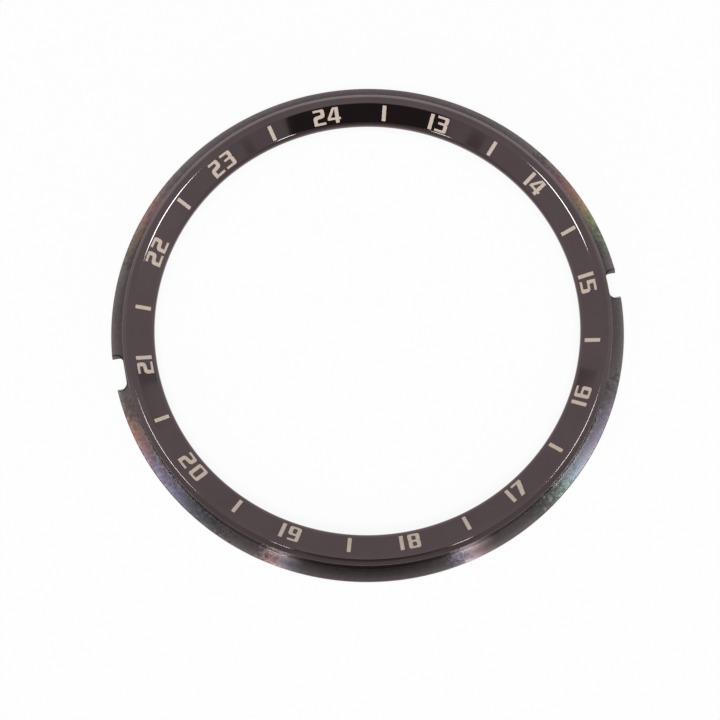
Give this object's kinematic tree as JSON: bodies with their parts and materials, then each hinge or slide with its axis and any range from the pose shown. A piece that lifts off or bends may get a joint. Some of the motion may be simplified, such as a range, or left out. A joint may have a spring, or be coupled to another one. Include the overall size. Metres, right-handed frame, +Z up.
{
  "type": "watch bezel",
  "caption": "Fixed dished 24-hour watch bezel: thin notched flange ring carrying a raised polished ring with afternoon hour numerals and half-hour ticks.",
  "frame": {"origin": "on the ring's axis, on the flat underside of the flange", "axes": "+Z up through the numeral face; +Y towards the numeral 24; +X towards the numeral 15 and the narrow key notch"},
  "size_m": [0.042, 0.042, 0.0019],
  "materials": {
    "turned_steel": "dark coated, finely turned, with heat-tint colours in places",
    "coated_steel": "dark brown-grey coating, polished",
    "filling": "matt beige filling",
    "bond": "dark bonding film"
  },
  "bodies": {
    "root": {"flange_ring": "turned_steel", "bond_ring": "bond", "numeral_ring": "coated_steel", "numeral_13_tens": "filling", "numeral_13_units": "filling", "numeral_14_tens": "filling", "numeral_14_units": "filling", "numeral_15_tens": "filling", "numeral_15_units": "filling", "numeral_16_tens": "filling", "numeral_16_units": "filling", "numeral_17_tens": "filling", "numeral_17_units": "filling", "numeral_18_tens": "filling", "numeral_18_units": "filling", "numeral_19_tens": "filling", "numeral_19_units": "filling", "numeral_20_tens": "filling", "numeral_20_units": "filling", "numeral_21_tens": "filling", "numeral_21_units": "filling", "numeral_22_tens": "filling", "numeral_22_units": "filling", "numeral_23_tens": "filling", "numeral_23_units": "filling", "numeral_24_tens": "filling", "numeral_24_units": "filling", "half_hour_tick_after_13": "filling", "half_hour_tick_after_14": "filling", "half_hour_tick_after_15": "filling", "half_hour_tick_after_16": "filling", "half_hour_tick_after_17": "filling", "half_hour_tick_after_18": "filling", "half_hour_tick_after_19": "filling", "half_hour_tick_after_20": "filling", "half_hour_tick_after_21": "filling", "half_hour_tick_after_22": "filling", "half_hour_tick_after_23": "filling", "half_hour_tick_after_24": "filling"}
  },
  "joints": []
}
